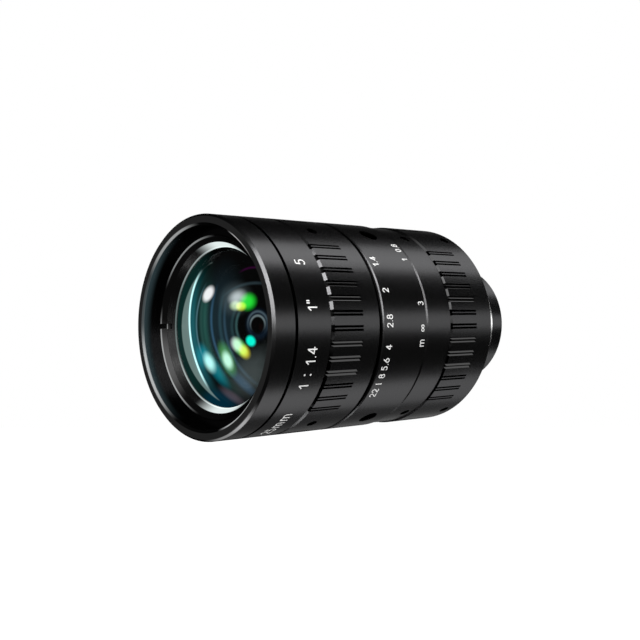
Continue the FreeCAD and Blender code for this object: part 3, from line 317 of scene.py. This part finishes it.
# Painted reflections and highlights: what the coatings of the surfaces behind the front one send back, painted
# on
# the front cap as glowing colour: each has its colour first, and x and z are millimetres from the axis. A spot
# is an ellipse (x, z, across, over, turn, soft); a line runs along an ellipse (x, z, across, over, turn, width,
# edge). What follows "within" or "without" cuts it with a spot.
glints = {
    "edgeBand": ((0.003, 0.020, 0.018), "spot", (0, 0, 14.7, 14.7, 0, 0.02), "within", (-11, 0, 9, 15, 0, 0.4)),
    "edgeBlue": ((0.0, 0.020, 0.038), "spot", (-1.0, -13.6, 5.0, 1.9, 4, 0.6)),
    "crescent": ((0.135, 0.185, 0.175), "spot", (7.48, -0.48, 19.75, 14.42, -1.7, 0.012),
                 "within", (-21.6, -2.2, 23.6, 23.6, 0, 0.02), "without", (0.5, -1.27, 8.66, 13.6, 17.8, 0.02)),
    "brightLine": ((0.62, 1.05, 1.05), "line", (0.5, -1.27, 8.66, 13.6, 17.8, 0.65, 0.30),
                   "within", (-12.5, -1.0, 10.6, 12.6, 10, 0.20)),
    "lineGlow": ((0.006, 0.075, 0.095), "line", (0.9, -1.27, 8.0, 13.0, 17.8, 2.6, 1.6),
                 "within", (-10.0, -2.5, 9.0, 10.5, 10, 0.5)),
    "firstArc": ((0.060, 0.130, 0.160), "line", (5.69, 0.87, 11.61, 11.61, 0, 0.45, 0.30),
                 "within", (-6.0, 1.0, 3.0, 7.0, 0, 0.5)),
    "greenBand": ((0.011, 0.055, 0.042), "line", (12.36, 2.21, 15.47, 15.47, 0, 1.5, 0.9),
                  "within", (-2.0, -1.5, 5.0, 9.5, 30, 0.5)),
    "greenArc": ((0.012, 0.040, 0.034), "line", (11.2, 1.9, 15.6, 15.6, 0, 0.7, 0.5),
                 "within", (-4.0, 0.0, 4.0, 6.5, 20, 0.5)),
    "blueArc": ((0.024, 0.072, 0.135), "line", (12.95, 2.13, 13.88, 13.88, 0, 0.50, 0.40),
                "within", (0.6, -1.0, 3.6, 7.6, 25, 0.6)),
    "blueTail": ((0.012, 0.040, 0.075), "spot", (6.6, -9.8, 2.6, 0.9, -38, 0.7)),
    "fog": ((0.007, 0.017, 0.023), "spot", (2.2, 1.2, 4.6, 7.6, 8, 0.7),
            "without", (10.4, 0.5, 5.0, 4.6, 0, 0.25)),
    "secondArc": ((0.020, 0.048, 0.075), "line", (16.97, 2.30, 14.1, 14.1, 0, 0.5, 0.4),
                  "within", (4.5, -3.0, 4.0, 7.5, 30, 0.5)),
    "thirdArc": ((0.012, 0.035, 0.045), "line", (15.2, 2.1, 13.6, 13.6, 0, 0.7, 0.5),
                 "within", (2.5, -1.0, 4.0, 6.5, 20, 0.5)),
    "innerArc": ((0.035, 0.090, 0.090), "line", (10.0, 0.49, 4.02, 4.02, 0, 0.45, 0.35),
                 "within", (6.0, 0.5, 2.0, 2.6, 0, 0.4)),
    "innerFaint": ((0.012, 0.032, 0.034), "line", (10.0, 0.45, 5.1, 5.1, 0, 0.6, 0.4),
                   "within", (5.0, 0.5, 2.2, 3.2, 0, 0.4)),
    "upperArc": ((0.022, 0.038, 0.046), "line", (9.76, -5.54, 13.49, 13.49, 0, 0.35, 0.3),
                 "within", (7.2, 7.6, 4.6, 1.8, 12, 0.5)),
    "magentaArc": ((0.028, 0.0, 0.025), "line", (8.84, 4.44, 6.29, 6.29, 0, 0.26, 0.22),
                   "within", (8.6, 10.9, 2.6, 1.4, 12, 0.4)),
    "outerLoop": ((0.060, 0.090, 0.105), "line", (10.87, 0.71, 2.16, 2.25, 0, 0.32, 0.25),
                  "within", (10.87, 2.3, 2.8, 2.4, 0, 0.6)),
    "innerLoop": ((0.150, 0.200, 0.210), "line", (10.89, 0.61, 1.60, 1.62, 0, 0.30, 0.22),
                  "within", (10.87, 1.9, 2.3, 1.7, 0, 0.6)),
    "loopBlue": ((0.002, 0.007, 0.016), "line", (10.87, 0.71, 2.0, 2.2, 0, 0.9, 0.5)),
    "pupilRed": ((0.003, 0.0004, 0.0003), "spot", (11.6, 0.25, 0.4, 0.55, 0, 0.7)),
    "whiteSpot": ((0.85, 0.85, 0.87), "spot", (-2.36, 6.15, 1.70, 1.15, 30, 0.40)),
    "hazeSpot": ((0.44, 0.49, 0.50), "spot", (5.85, 5.50, 1.55, 0.95, 10, 0.85)),
    "hazeFog": ((0.045, 0.060, 0.064), "spot", (5.2, 5.2, 2.7, 2.0, 0, 0.9)),
    "greenSpot": ((0.012, 0.70, 0.030), "spot", (8.50, 4.68, 1.50, 1.20, 0, 0.62)),
    "yellowLeft": ((0.44, 0.60, 0.36), "spot", (5.65, 4.00, 1.20, 0.72, 0, 0.60)),
    "yellowSpot": ((0.52, 0.58, 0.03), "spot", (6.95, 3.85, 1.05, 0.70, 0, 0.50)),
    "tealLeft": ((0.0, 0.125, 0.165), "spot", (-4.3, -5.3, 1.7, 1.7, -40, 0.8)),
    "tealStreak": ((0.0, 0.14, 0.18), "spot", (-0.9, -7.2, 3.9, 1.30, -44, 0.65)),
    "cyanSpot": ((0.52, 0.90, 0.80), "spot", (-2.1, -6.45, 1.60, 1.20, -40, 0.75)),
    "greenHalo": ((0.065, 0.28, 0.070), "spot", (3.15, -5.6, 2.6, 1.45, -62, 0.60)),
    "paleSpot": ((0.50, 0.72, 0.70), "spot", (3.30, -5.85, 1.45, 1.05, -60, 0.60)),
    "longGreen": ((0.13, 0.58, 0.14), "spot", (6.7, -3.35, 1.75, 1.10, -38, 0.50)),
    "longWhite": ((0.45, 0.44, 0.52), "spot", (5.9, -2.9, 1.25, 1.00, -30, 0.55)),
    "longYellow": ((0.58, 0.50, 0.0), "spot", (7.75, -4.15, 1.15, 0.95, -38, 0.60)),
    "tealSpot": ((0.0, 0.92, 0.66), "spot", (9.35, -2.22, 1.00, 0.85, -20, 0.38)),
    "lowFog": ((0.040, 0.050, 0.050), "spot", (8.6, -8.2, 4.6, 2.6, 35, 0.75)),
    "lowStreak": ((0.055, 0.038, 0.045), "spot", (3.0, -12.3, 2.6, 0.8, -24, 0.7)),
}


kinds = {"spot": spotMask, "line": lineMask, "band": bandMask}
stationEdge = 0.01


def paintGlints(tree, layers, lastStation):
    masked = []
    for colour, kind, shape, *cuts in layers.values():
        mask = kinds[kind](tree, *shape)
        for word, cut in zip(cuts[::2], cuts[1::2]):
            edge = spotMask(tree, *cut)
            if word == "without":
                edge = maths(tree, "SUBTRACT", 1.0, edge)
            mask = maths(tree, "MULTIPLY", mask, edge)
        masked.append((colour, mask))
    # nothing behind the last station carries them
    showToCamera(tree, masked, bandMask(tree, lastStation, lastStation + stationEdge))


# Painted highlights and reflections for the light that the front ring's inside and the retaining ring's edges
# throw back, laid out in the same way. A band fades from one station to another.
rimLine = (0, 0, 18.72, 18.72, 0, 0.34, 0.06)
rimLights = {
    "rimUpper": ((0.30, 0.31, 0.31), "line", rimLine, "within", (-9.6, 16.0, 6.5, 6.5, 0, 0.5)),
    "rimLower": ((0.34, 0.35, 0.35), "line", rimLine, "within", (-15.9, -9.9, 7.5, 7.5, 0, 0.5)),
    "rimLeft": ((0.055, 0.065, 0.068), "line", rimLine, "within", (-18.7, 0, 8, 11, 0, 0.5)),
    "rimRight": ((0.45, 0.45, 0.45), "line", rimLine, "within", (11.5, 14.7, 3.2, 3.2, 0, 0.4)),
    "rimUnder": ((0.42, 0.43, 0.43), "line", rimLine, "within", (11.2, -14.9, 5.2, 5.2, 0, 0.35)),
    "chamferUnder": ((0.22, 0.22, 0.22), "line", (0, 0, 20.27, 20.27, 0, 0.34, 0.05),
                     "within", (9.5, -17.9, 6.0, 6.0, 0, 0.5)),
    "rimFace": ((0.013, 0.013, 0.013), "band", (0.02, 0.05), "without", (0, 0, 18.9, 18.9, 0, 0.001)),
    "wallTeal": ((0.022, 0.037, 0.042), "band", (0.45, 2.2), "within", (0, 0, 18.6, 18.6, 0, 0.001),
                 "within", (-18.5, 0, 13, 17, 0, 0.4)),
}
bevelDisc = (0, 0, 15.60, 15.60, 0, 0.001)
lipLine = (0, 0, 14.79, 14.79, 0, 0.14, 0.03)
edgeLine = (0, 0, 16.69, 16.69, 0, 0.34, 0.05)
retainerLights = {
    "bevelHigh": ((0.78, 0.86, 0.85), "spot", bevelDisc, "within", (1.0, 15.2, 4.7, 4.7, 0, 0.7)),
    "bevelLow": ((0.78, 0.86, 0.85), "spot", bevelDisc, "within", (1.3, -15.2, 5.0, 5.0, 0, 0.65)),
    "lip": ((0.12, 0.16, 0.155), "line", lipLine),
    "lipHigh": ((0.14, 0.15, 0.15), "line", lipLine, "within", (-8.5, 12.1, 6.0, 6.0, 0, 0.5)),
    "lipLow": ((0.26, 0.28, 0.28), "line", lipLine, "within", (-8.0, -12.4, 7.0, 7.0, 0, 0.5)),
    "edgeHigh": ((0.24, 0.25, 0.25), "line", edgeLine, "within", (-8.7, 14.4, 6.5, 6.5, 0, 0.5)),
    "edgeLow": ((0.38, 0.39, 0.39), "line", edgeLine, "within", (-14.6, -8.0, 9.5, 8.5, 0, 0.45)),
    "coneSheen": ((0.095, 0.095, 0.095), "spot", (-14.6, -7.0, 5.5, 2.6, -64, 0.8),
                  "without", (0, 0, 15.64, 15.64, 0, 0.001), "within", (0, 0, 16.5, 16.5, 0, 0.004)),
}
painted = {
    # node: name of its material, finish under the painted light, painted light, last station that carries it
    "front_ring": ("frontRingBlack", "satinBlack", rimLights, 2.9),
    "front_retaining_ring": ("retainerBlack", "turnedBlack", retainerLights, 5.5),
}


def copiedFinish(name, base):
    material = finish[base].copy()
    material.name = name
    return material, material.node_tree


def paintedFinish(name, base, layers, lastStation):
    material, tree = copiedFinish(name, base)
    paintGlints(tree, layers, lastStation)
    return material


unlit = (0.001, 0.001, 0.001)


def darken(tree, base, mask):
    # painted shade: the colour of a finish falls to nearly none where the mask is 1
    colour = mixColours(tree, mask, finishes[base][0], unlit)
    tree.links.new(colour, tree.nodes["Principled BSDF"].inputs["Base Color"])


grip = {
    # Windows show where a painted glow lies on the upper walls of the grooves, and where painted shade, half
    # shade or a painted highlight lies on the rise in front of them. A rise is a pair of stations; "lit" and
    # "tile" have the colours of their painted light.
    "lit": (((0.145, 0.145, 0.145), (19.6, 6.6, 3.0, 2.6, 0, 0.15)),
            ((0.080, 0.080, 0.080), (19.8, -5.3, 4.0, 3.9, 0, 0.15))),
    "rises": ((lens["irisFront"] - 0.05, lens["irisFront"] + 0.5),
              (lens["gripFront"] - 0.10, lens["gripFront"] + 0.3)),
    "riseEdge": 0.02,
    "shade": (18.0, -9.5, 5.0, 5.8, 0, 0.2),
    "halfShade": (20.4, 0.6, 3.0, 2.0, 0, 0.25), "halfShadeStrength": 0.7,
    "tile": (0.10, 0.10, 0.10), "tileWindow": (16.5, 9.5, 8.0, 8.5, 0, 0.5),
    # a wall leans this much along the turn and outwards, from none of the effect to all of it
    "wallAlong": (0.40, 0.70), "wallOutwards": (0.20, 0.35), "wallLeast": 0.5,
    # degrees
    "pitch": 7.6, "halfPair": 1.75, "sectorHalf": 48.0,
}


def gripFinish(name):
    # With p the unit vector from the axis and n the normal, (n x p) . Y is near 1 on the groove walls that
    # face the sky and near -1 on the others. All of them get painted shade; the first also get a painted glow
    # inside their windows.
    material, tree = copiedFinish(name, "satinBlack")
    place = flatPlace(tree)
    outward = vectorMaths(tree, "NORMALIZE", place)
    facing = addNode(tree, "ShaderNodeTexCoord").outputs["Normal"]
    lean = splitVector(tree, vectorMaths(tree, "CROSS_PRODUCT", facing, outward))["Y"]
    outwards = vectorMaths(tree, "DOT_PRODUCT", facing, outward)
    glow = maths(tree, "MULTIPLY", smoothRange(tree, lean, *grip["wallAlong"]),
                 smoothRange(tree, outwards, *grip["wallOutwards"]))
    # painted shade on every groove wall
    wall = maths(tree, "GREATER_THAN", maths(tree, "ABSOLUTE", lean), grip["wallLeast"])
    # the rise in front of each pair of grooves gets painted shade where the cutter's run-in lies, which parts
    # it into tiles
    flat = splitVector(tree, place)
    angle = maths(tree, "DEGREES", maths(tree, "ARCTAN2", flat["Z"], flat["X"]))
    pair = maths(tree, "LESS_THAN", maths(tree, "PINGPONG", angle, grip["pitch"] / 2), grip["halfPair"])
    sector = maths(tree, "LESS_THAN", maths(tree, "ABSOLUTE", angle), grip["sectorHalf"])
    pair = maths(tree, "MULTIPLY", pair, sector)
    irisRise, focusRise = (maths(tree, "SUBTRACT", bandMask(tree, stop, stop + grip["riseEdge"]),
                                 bandMask(tree, first, first + grip["riseEdge"]))
                           for first, stop in grip["rises"])
    # painted shade and half shade inside their windows, joined with that of the pairs and kept to the rises
    half = maths(tree, "MULTIPLY", spotMask(tree, *grip["halfShade"]), grip["halfShadeStrength"])
    dark = maths(tree, "MAXIMUM", maths(tree, "MAXIMUM", pair, spotMask(tree, *grip["shade"])), half)
    dark = maths(tree, "MULTIPLY", maths(tree, "ADD", irisRise, focusRise), dark)
    darken(tree, "satinBlack", maths(tree, "MAXIMUM", wall, dark))
    # a painted highlight on the tiles of the focus rise, away from the pairs
    tile = maths(tree, "MULTIPLY", focusRise, spotMask(tree, *grip["tileWindow"]))
    tile = maths(tree, "MULTIPLY", tile, maths(tree, "SUBTRACT", 1.0, pair))
    lit = [(shine, maths(tree, "MULTIPLY", glow, spotMask(tree, *window))) for shine, window in grip["lit"]]
    showToCamera(tree, [*lit, (grip["tile"], tile)])
    return material


gap = {"depth": 0.2, "edge": 0.003}


def shadedFinish(name, radius):
    # bare of light below a radius, as the wall of a narrow gap is
    material, tree = copiedFinish(name, "satinBlack")
    darken(tree, "satinBlack", spotMask(tree, 0, 0, radius, radius, 0, gap["edge"]))
    return material


clothe("middle_barrel", shadedFinish("middleBlack", lens["barrelRadius"] - gap["depth"]))
gripBlack = gripFinish("gripBlack")
clothe("iris_ring", gripBlack)
clothe("focus_ring", gripBlack)
for name, values in painted.items():
    clothe(name, paintedFinish(*values))

glassIndex = 1.52
glasses = {
    # name: tint of what passes through, specular level left by the coating
    "lensGlass": ((0.30, 0.36, 0.36), 0.25),
    "frontGlass": ((0.16, 0.20, 0.20), 0.06),
}
glintStation = 5.46  # the front surface ends here


def makeGlass(name):
    tint, specular = glasses[name]
    material, tree, shader = newMaterial(name)
    shader.inputs["Base Color"].default_value = (*tint, 1)
    shader.inputs["Roughness"].default_value = 0.0
    shader.inputs["IOR"].default_value = glassIndex
    shader.inputs["Specular IOR Level"].default_value = specular
    shader.inputs["Transmission Weight"].default_value = 1.0
    return material


lensGlass, frontGlass = (makeGlass(name) for name in glasses)
paintGlints(frontGlass.node_tree, glints, glintStation)
for name in nodes:
    if name.endswith("_element"):
        clothe(name, frontGlass if name == "front_element" else lensGlass)
print("materials placed")

smoothed = ["front_ring", "front_retaining_ring", "front_element", "front_barrel", "iris_ring", "middle_barrel",
            "focus_ring", "mount_barrel", "flange_ring", "c_mount_ring", "rear_barrel"]
roundAngle = 12.0
joinDistance = 1e-7


def smoothCopy(name):
    # the same piece with its corners joined, so that its round faces are shaded as one
    node = nodes[name]
    mesh = node.data.copy()
    joined = bmesh.new()
    joined.from_mesh(mesh)
    bmesh.ops.remove_doubles(joined, verts=joined.verts, dist=joinDistance)
    joined.to_mesh(mesh)
    joined.free()
    normals = mesh.attributes.get("custom_normal")
    if normals:
        mesh.attributes.remove(normals)
    mesh.polygons.foreach_set("use_smooth", np.ones(len(mesh.polygons), dtype=bool))
    mesh.set_sharp_from_angle(angle=math.radians(roundAngle))
    first, *others = name.split("_")
    piece = bpy.data.objects.new(first + "".join(part.title() for part in others), mesh)
    bpy.context.scene.collection.objects.link(piece)
    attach(piece, node.parent.name.split(":")[1])
    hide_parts(name)


for name in smoothed:
    smoothCopy(name)
print("smooth copies made")


# Camera, matched to the ellipses of the rings.
view = {
    "azimuth": 47.13, "elevation": 0.99, "distance": 198.9 * mm, "aimStation": 28.34,
    "aimPixel": (315.33, 325.99), "focalPixels": 1000.0, "frame": 640.0, "sensor": 36, "nearest": 0.01,
}


def facingFrame(right, up, back, spot):
    # a camera or a lamp at the spot, which looks away from back
    placed = Matrix((right, up, back)).transposed().to_4x4()
    placed.translation = spot
    return placed


def placeCamera():
    # Seen from the aim station the camera lies towards (sin a cos e, -cos a cos e, sin e), with a the azimuth
    # and e the elevation; it then turns until that station falls on the aim pixel.
    turn, rise = math.radians(view["azimuth"]), math.radians(view["elevation"])
    outward = Vector((math.sin(turn) * math.cos(rise), -math.cos(turn) * math.cos(rise), math.sin(rise)))
    spot = Vector((0, stationY(view["aimStation"]), 0)) + outward * view["distance"]
    right = (-outward).cross(Vector((0, 0, 1))).normalized()
    up = right.cross(-outward).normalized()
    half = view["frame"] / 2
    across = (view["aimPixel"][0] - half) / view["focalPixels"]
    over = (half - view["aimPixel"][1]) / view["focalPixels"]
    ahead = (-outward - right * across - up * over).normalized()
    right = ahead.cross(up).normalized()
    up = right.cross(ahead)
    data = bpy.data.cameras.new("camera")
    data.sensor_width = view["sensor"]
    data.lens = view["sensor"] * view["focalPixels"] / view["frame"]
    data.clip_start = view["nearest"]
    camera = bpy.data.objects.new("camera", data)
    camera.matrix_world = facingFrame(right, up, -ahead, spot)
    bpy.context.scene.collection.objects.link(camera)
    bpy.context.scene.camera = camera
    return outward


towardsCamera = placeCamera()

# Soft boxes round the lens, each named by where the lens shows it.
middleStation = 30
middle = Vector((0, stationY(middleStation), 0))
boxes = {
    # name: direction from the lens, distance, width, length, radiance
    "topBox": ((0.12, 0.68, 0.725), 0.42, 0.18, 0.60, 3.9),
    "sideBox": ((0.725, 0.68, 0.06), 0.42, 0.10, 0.60, 1.7),
    "lowBox": ((0.10, 0.68, -0.725), 0.42, 0.20, 0.60, 2.2),
    "lowBack": ((-0.45, 0.68, -0.58), 0.45, 0.26, 0.50, 0.45),
    "keyRight": ((0.61, -0.71, 0.34), 0.50, 0.30, 0.12, 14.0),
    "keyMiddle": ((0.35, -0.62, 0.70), 0.50, 0.24, 0.12, 14.0),
    "keyLow": ((-0.16, -0.40, -0.90), 0.50, 0.20, 0.10, 5.5),
    "paintBox": ((0.98, -0.08, -0.18), 0.50, 0.24, 0.24, 4.0),
}


def areaLamp(name, direction, distance, width, height, radiance):
    # a rectangle that faces the middle; its power is pi times its radiance times its area
    data = bpy.data.lights.new(name, "AREA")
    data.shape = "RECTANGLE"
    data.size, data.size_y = width, height
    data.energy = radiance * math.pi * width * height
    lamp = bpy.data.objects.new(name, data)
    away = Vector(direction).normalized()
    side = away.cross(Vector((0, 1, 0))).normalized()
    lamp.matrix_world = facingFrame(side, side.cross(away).normalized(), away, middle + away * distance)
    lamp.visible_camera = False
    bpy.context.scene.collection.objects.link(lamp)


for name, values in boxes.items():
    areaLamp(name, *values)

# Floor, backdrop and surroundings. The camera sees plain white, and the glass sees it where the backdrop
# is. All else finds a dimmed backdrop and a dark room, as it would between black studio flags.
stage = {
    "floorDrop": 0.11, "floorHalf": 3.0, "floorGlow": 0.90, "floorColour": 0.9, "floorRoughness": 0.9,
    "floorSpecular": 0.1, "backDistance": 0.75, "backHalf": 0.32, "backGlow": 0.14, "roomGlow": 0.035,
    "white": 1.0,
}
square = ((-1, -1), (1, -1), (1, 1), (-1, 1))


def cardMesh(name, corners, material):
    mesh = bpy.data.meshes.new(name)
    mesh.from_pydata([tuple(corner) for corner in corners], [], [(0, 1, 2, 3)])
    mesh.materials.append(material)
    card = bpy.data.objects.new(name, mesh)
    bpy.context.scene.collection.objects.link(card)
    return card


def seenWhite(tree, dim, bright, through=False):
    # the bright grey where a camera ray looks, or one that went through glass too, and the dim one elsewhere
    path = addNode(tree, "ShaderNodeLightPath")
    seen = path.outputs["Is Camera Ray"]
    if through:
        seen = maths(tree, "MAXIMUM", seen, path.outputs["Is Transmission Ray"])
    return mixColours(tree, seen, (dim,) * 3, (bright,) * 3)


def makeStage():
    drop, half = -stage["floorDrop"], stage["floorHalf"]
    paper, tree, shader = newMaterial("floorPaper")
    shader.inputs["Base Color"].default_value = (*(stage["floorColour"],) * 3, 1)
    shader.inputs["Roughness"].default_value = stage["floorRoughness"]
    shader.inputs["Specular IOR Level"].default_value = stage["floorSpecular"]
    shader.inputs["Emission Strength"].default_value = 1.0
    tree.links.new(seenWhite(tree, 0.0, stage["floorGlow"]), shader.inputs["Emission Color"])
    floor = cardMesh("floor", [(a * half, b * half, drop) for a, b in square], paper)
    floor.visible_glossy = floor.visible_diffuse = floor.visible_shadow = False
    ahead = -towardsCamera
    side = ahead.cross(Vector((0, 0, 1))).normalized()
    up = side.cross(ahead).normalized()
    centre, reach = middle + ahead * stage["backDistance"], stage["backHalf"]
    cloth, tree, shader = newMaterial("backdropPaper")
    shader.inputs["Base Color"].default_value = (0, 0, 0, 1)
    shader.inputs["Specular IOR Level"].default_value = 0
    shader.inputs["Emission Strength"].default_value = 1.0
    backdrop = seenWhite(tree, stage["backGlow"], stage["white"], through=True)
    tree.links.new(backdrop, shader.inputs["Emission Color"])
    cardMesh("backdrop", [centre + side * a * reach + up * b * reach for a, b in square], cloth)
    world = bpy.data.worlds.new("studio")
    bpy.context.scene.world = world
    world.use_nodes = True
    tree = world.node_tree
    room = seenWhite(tree, stage["roomGlow"], stage["white"])
    tree.links.new(room, tree.nodes["Background"].inputs["Color"])
    bpy.context.scene.view_settings.view_transform = "Standard"


makeStage()
print("stage and light placed")


# Figures filled with white paint. Every figure is a set of strokes in a box one unit high, drawn with
# lines and arcs: an arc is (centreX, centreY, radiusX, radiusY, fromAngle, toAngle).
strokes = {
    "0": [[(0.30, 0.50, 0.27, 0.50, 90, 450)]],
    "1": [[(0.36, 0.0), (0.36, 1.0), (0.08, 0.70)]],
    "2": [[(0.31, 0.71, 0.27, 0.29, 165, -25), (0.04, 0.0), (0.60, 0.0)]],
    "3": [[(0.29, 0.75, 0.24, 0.25, 145, -90), (0.29, 0.27, 0.28, 0.27, 80, -145)]],
    "4": [[(0.46, 0.0), (0.46, 1.0), (0.02, 0.26), (0.64, 0.26)]],
    "5": [[(0.54, 1.0), (0.14, 1.0), (0.10, 0.56), (0.28, 0.32, 0.28, 0.32, 120, -140)]],
    "6": [[(0.46, 1.0), (0.31, 0.30, 0.28, 0.30, 150, 510)]],
    "8": [[(0.30, 0.76, 0.23, 0.24, -90, 270)], [(0.30, 0.27, 0.28, 0.27, 90, 450)]],
    ".": [[(0.06, 0.03), (0.07, 0.03)]],
    ":": [[(0.08, 0.12, 0.05, 0.05, 0, 360)], [(0.08, 0.80, 0.05, 0.05, 0, 360)]],
    "|": [[(0.04, 0.0), (0.04, 1.0)]],
    "\"": [[(0.06, 0.78), (0.06, 1.02)], [(0.28, 0.78), (0.28, 1.02)]],
    "∞": [[("loop", 0.56, 0.42, 0.50, 0.72)]],
    "m": [[(0.06, 0.0), (0.06, 0.78)], [(0.06, 0.50), (0.31, 0.50, 0.24, 0.26, 165, 0), (0.55, 0.0)],
          [(0.55, 0.50), (0.80, 0.50, 0.24, 0.26, 165, 0), (1.04, 0.0)]],
}
usualAdvance = 0.76
advance = {".": 0.32, ":": 0.34, "|": 0.2, "\"": 0.5, "1": 0.62, "∞": 1.24, "m": 1.24, " ": 0.64}
figure = {
    "narrow": 0.86,  # of its height
    "space": 0.14,  # beside a figure, in heights
    "sunk": -0.03, "proud": 0.012,  # millimetres under and over the barrel
    "step": 0.05, "closest": 1e-6, "loopPoints": 60, "capPoints": 5, "capAngle": 88,
}
lettering = {
    # name: station of the middle, height of a figure, width of a stroke, (text, angle) pairs
    "irisFigures": (28.10, 1.46, 0.205, [("1.4", 36.9), ("2", 19.7), ("2.8", 3.5), ("4", -10.2), ("5.6", -19.4),
                                         ("8", -26.1), ("|", -31.1), ("22", -36.9)]),
    "focusFigures": (37.1, 1.38, 0.175, [("0.8", 48.3), ("1", 39.1), ("3", 12.8), ("∞", -0.4), ("m", -8.4)]),
    "frontFigures": (8.93, 2.08, 0.24, [("5", 34.5), ("1\"", 11.4), ("1 : 1.4", -19.6), ("25mm", -58.0)]),
}


def strokePath(parts):
    # the points of one stroke, with arcs as (x + across cos t, y + over sin t) at even angles t
    points = []
    for part in parts:
        if len(part) == 2:
            points.append(np.array([part]))
        elif part[0] == "loop":
            # a lemniscate: x = a cos t / (1 + sin t sin t), y = b sin t cos t / (1 + sin t sin t)
            turn = np.linspace(0, 2 * math.pi, figure["loopPoints"])
            fall = 1 + np.sin(turn) ** 2
            points.append(np.stack([part[1] + part[3] * np.cos(turn) / fall,
                                    part[2] + part[4] * np.sin(turn) * np.cos(turn) / fall], axis=1))
        else:
            x, y, across, over, start, stop = part
            count = max(4, int(math.radians(abs(stop - start)) * max(across, over) / figure["step"]))
            turn = np.radians(np.linspace(start, stop, count))
            points.append(np.stack([x + across * np.cos(turn), y + over * np.sin(turn)], axis=1))
    path = np.concatenate(points)
    keep = np.concatenate([[True], np.linalg.norm(np.diff(path, axis=0), axis=1) > figure["closest"]])
    path = path[keep]
    fine = []
    for a, b in zip(path[:-1], path[1:]):
        pieces = max(1, int(np.linalg.norm(b - a) / figure["step"]))
        fine.append(a + (b - a) * np.linspace(0, 1, pieces, endpoint=False)[:, None])
    return np.concatenate(fine + [path[-1:]])


def strokeSlab(path, half, radius, turn, station):
    # A flat bar of width 2w follows the path; beyond each end its half width falls as w cos(t) while the
    # centre runs on by w sin(t), which rounds the end. (x, y) then wraps on to the barrel as
    # (R cos(a + x/R), station - y, R sin(a + x/R)), with R a little over and under the barrel's radius.
    along = np.gradient(path, axis=0)
    along /= np.linalg.norm(along, axis=1)[:, None]
    ends = figure["capPoints"]
    cap = np.radians(np.linspace(0, figure["capAngle"], ends + 1))[1:]
    centre = np.concatenate([path[0] - along[0] * half * np.sin(cap[::-1])[:, None], path,
                             path[-1] + along[-1] * half * np.sin(cap)[:, None]])
    width = np.concatenate([half * np.cos(cap[::-1]), np.full(len(path), half), half * np.cos(cap)])
    heading = np.concatenate([np.repeat(along[:1], ends, 0), along, np.repeat(along[-1:], ends, 0)])
    across = np.stack([-heading[:, 1], heading[:, 0]], axis=1) * width[:, None]
    corners = []
    sunk, proud = figure["sunk"], figure["proud"]
    for side, level in ((-1, sunk), (-1, proud), (1, proud), (1, sunk)):
        flat = centre + across * side
        wrapped = turn + flat[:, 0] / radius
        reach = (radius + level) * mm
        corners.append(np.stack([reach * np.cos(wrapped), stationY(station) - flat[:, 1] * mm,
                                 reach * np.sin(wrapped)], axis=1))
    points = np.stack(corners, axis=1)
    first = np.arange(len(points) - 1)[:, None] * 4
    corner = np.arange(4)[None, :]
    following = (corner + 1) % 4
    sides = np.stack([first + corner, first + following, first + 4 + following, first + 4 + corner], axis=2)
    caps = np.array([[3, 2, 1, 0], [-4, -3, -2, -1]])
    caps[1] += 4 * len(points)
    return points.reshape(-1, 3), np.concatenate([sides.reshape(-1, 4), caps])


def layFigures(name):
    station, height, width, entries = lettering[name]
    points, faces, start = [], [], 0
    for text, angle in entries:
        steps = [advance.get(mark, usualAdvance) for mark in text]
        left = -(sum(steps) - figure["space"]) / 2
        for mark, step in zip(text, steps):
            for parts in strokes.get(mark, []):
                path = (strokePath(parts) * (figure["narrow"], 1) + (left, -0.5)) * height
                some, quads = strokeSlab(path, width / 2, lens["barrelRadius"], math.radians(angle), station)
                points.append(some)
                faces.append(quads + start)
                start += len(some)
            left += step
    mesh = bpy.data.meshes.new(name)
    mesh.from_pydata(np.concatenate(points).tolist(), [], np.concatenate(faces).tolist())
    mesh.materials.append(finish["whiteFill"])
    piece = bpy.data.objects.new(name, mesh)
    bpy.context.scene.collection.objects.link(piece)
    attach(piece, "lens_block")


for name in lettering:
    layFigures(name)
print("figures laid on the barrel")
